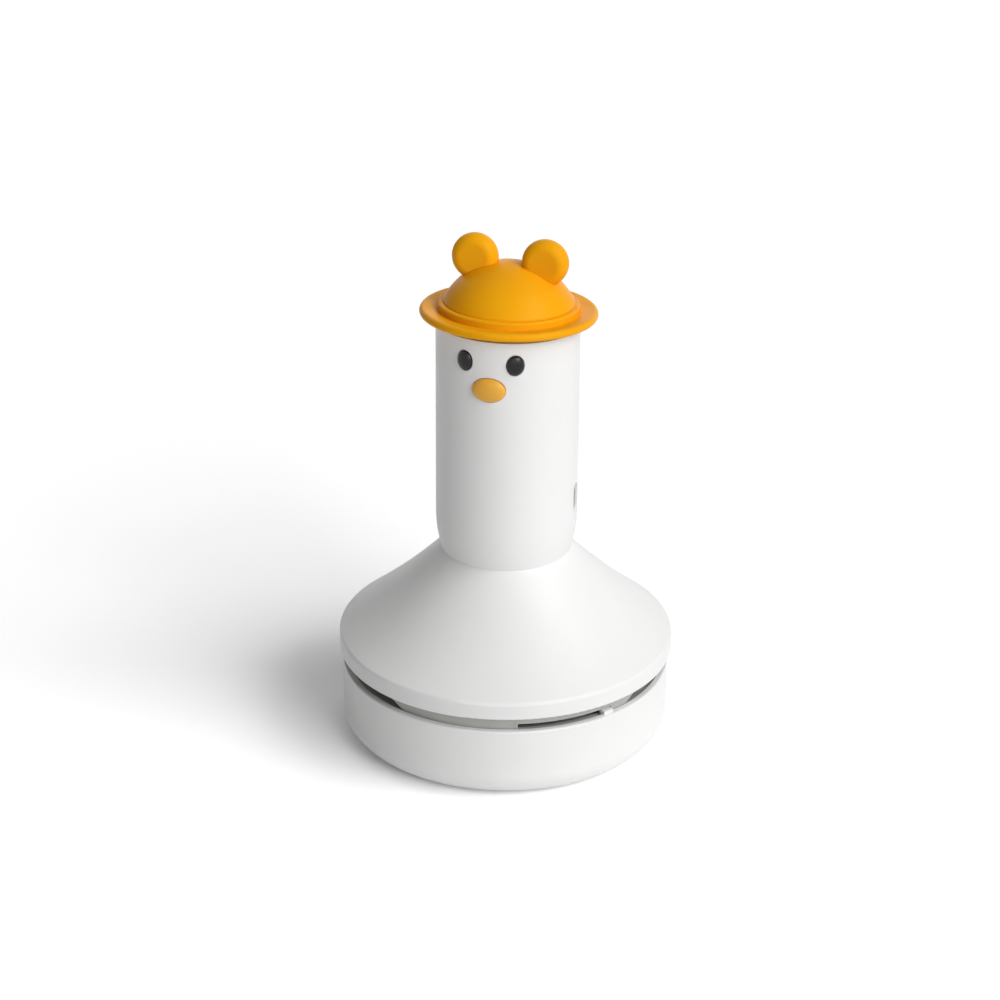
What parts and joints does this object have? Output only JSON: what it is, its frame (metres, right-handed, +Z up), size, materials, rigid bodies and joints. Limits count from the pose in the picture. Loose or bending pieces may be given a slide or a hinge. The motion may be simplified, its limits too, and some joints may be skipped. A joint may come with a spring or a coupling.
{
  "type": "desktop mini vacuum cleaner",
  "caption": "Round desktop crumb vacuum with a twist-off dust tray, conical casing, tube handle with a plain bird face, and a push-button hat with round ears.",
  "frame": {"origin": "centre of the base on the table, under the rubber feet", "axes": "+Z up along the handle, the face looks along -Y, +X is the viewer's right when the face looks at the viewer"},
  "size_m": [0.098, 0.098, 0.1536],
  "materials": {
    "white_shell": "satin",
    "inner_grey": "satin",
    "inner_black": "matt",
    "hat_orange": "gloss",
    "beak_orange": "gloss",
    "eye_black": "gloss",
    "foot_rubber": "matt",
    "seal_rubber": "matt",
    "foam_grey": "open-cell foam",
    "filter_cloth": "pleated non-woven",
    "bristle_nylon": "fine bristle",
    "screw_steel": "zinc plated",
    "can_steel": "drawn",
    "shaft_steel": "ground",
    "magnet": "sintered",
    "winding": "enamelled wire on a laminated core",
    "terminal_brass": "tinned",
    "board_green": "solder mask",
    "cell_sleeve": "shrink sleeve",
    "contact_steel": "nickel plated",
    "spring_steel": "drawn wire",
    "lead_red": "insulated wire"
  },
  "bodies": {
    "tray": {"dust_tray": "white_shell", "base_feet": "foot_rubber", "inlet_duct": "inner_grey", "duct_bristles": "bristle_nylon", "duct_hood": "inner_grey"},
    "housing": {"vent_ring": "white_shell", "tray_seal": "seal_rubber", "exhaust_foam": "foam_grey", "ring_screws": "screw_steel", "filter_frame": "inner_grey", "filter_media": "filter_cloth", "cone_shell": "white_shell", "fan_cup": "inner_grey", "cup_screws": "screw_steel", "motor_mount": "inner_grey", "mount_screws": "screw_steel", "motor_screws": "screw_steel", "motor_can": "can_steel", "motor_magnets": "magnet", "motor_end_cap": "inner_black", "motor_terminals": "terminal_brass", "handle_tube": "white_shell", "eye_left": "eye_black", "eye_right": "eye_black", "beak": "beak_orange", "neck_screws": "screw_steel", "usb_socket": "contact_steel", "circuit_board": "board_green", "board_screws": "screw_steel", "board_components": "inner_black", "battery_cell": "cell_sleeve", "battery_contact_top": "contact_steel", "battery_contact_bottom": "contact_steel", "battery_cradle": "inner_black", "battery_spring": "spring_steel", "motor_leads": "lead_red", "top_cap": "white_shell", "cap_screws": "screw_steel", "power_switch": "inner_black", "switch_screws": "screw_steel", "hat_spring": "spring_steel"},
    "rotor": {"motor_shaft": "shaft_steel", "motor_armature": "winding", "impeller": "inner_black"},
    "hat": {"switch_plunger": "inner_grey", "hat_stem": "hat_orange", "hat_shell": "hat_orange", "ear_left": "hat_orange", "ear_right": "hat_orange"}
  },
  "joints": [
    {"name": "tray_twist", "type": "hinge", "parent": "tray", "child": "housing", "pos_m": [0, 0, 0.0225], "axis": [0, 0, 1], "range_deg": [0, 32]},
    {"name": "fan_spin", "type": "hinge", "parent": "housing", "child": "rotor", "pos_m": [0, 0, 0.0365], "axis": [0, 0, 1], "continuous": true},
    {"name": "hat_press", "type": "slide", "parent": "housing", "child": "hat", "axis": [0, 0, -1], "range_m": [0, 0.0012], "stiffness_N_per_m": 800, "springref_m": -0.002, "deforming": ["hat_spring"]}
  ]
}
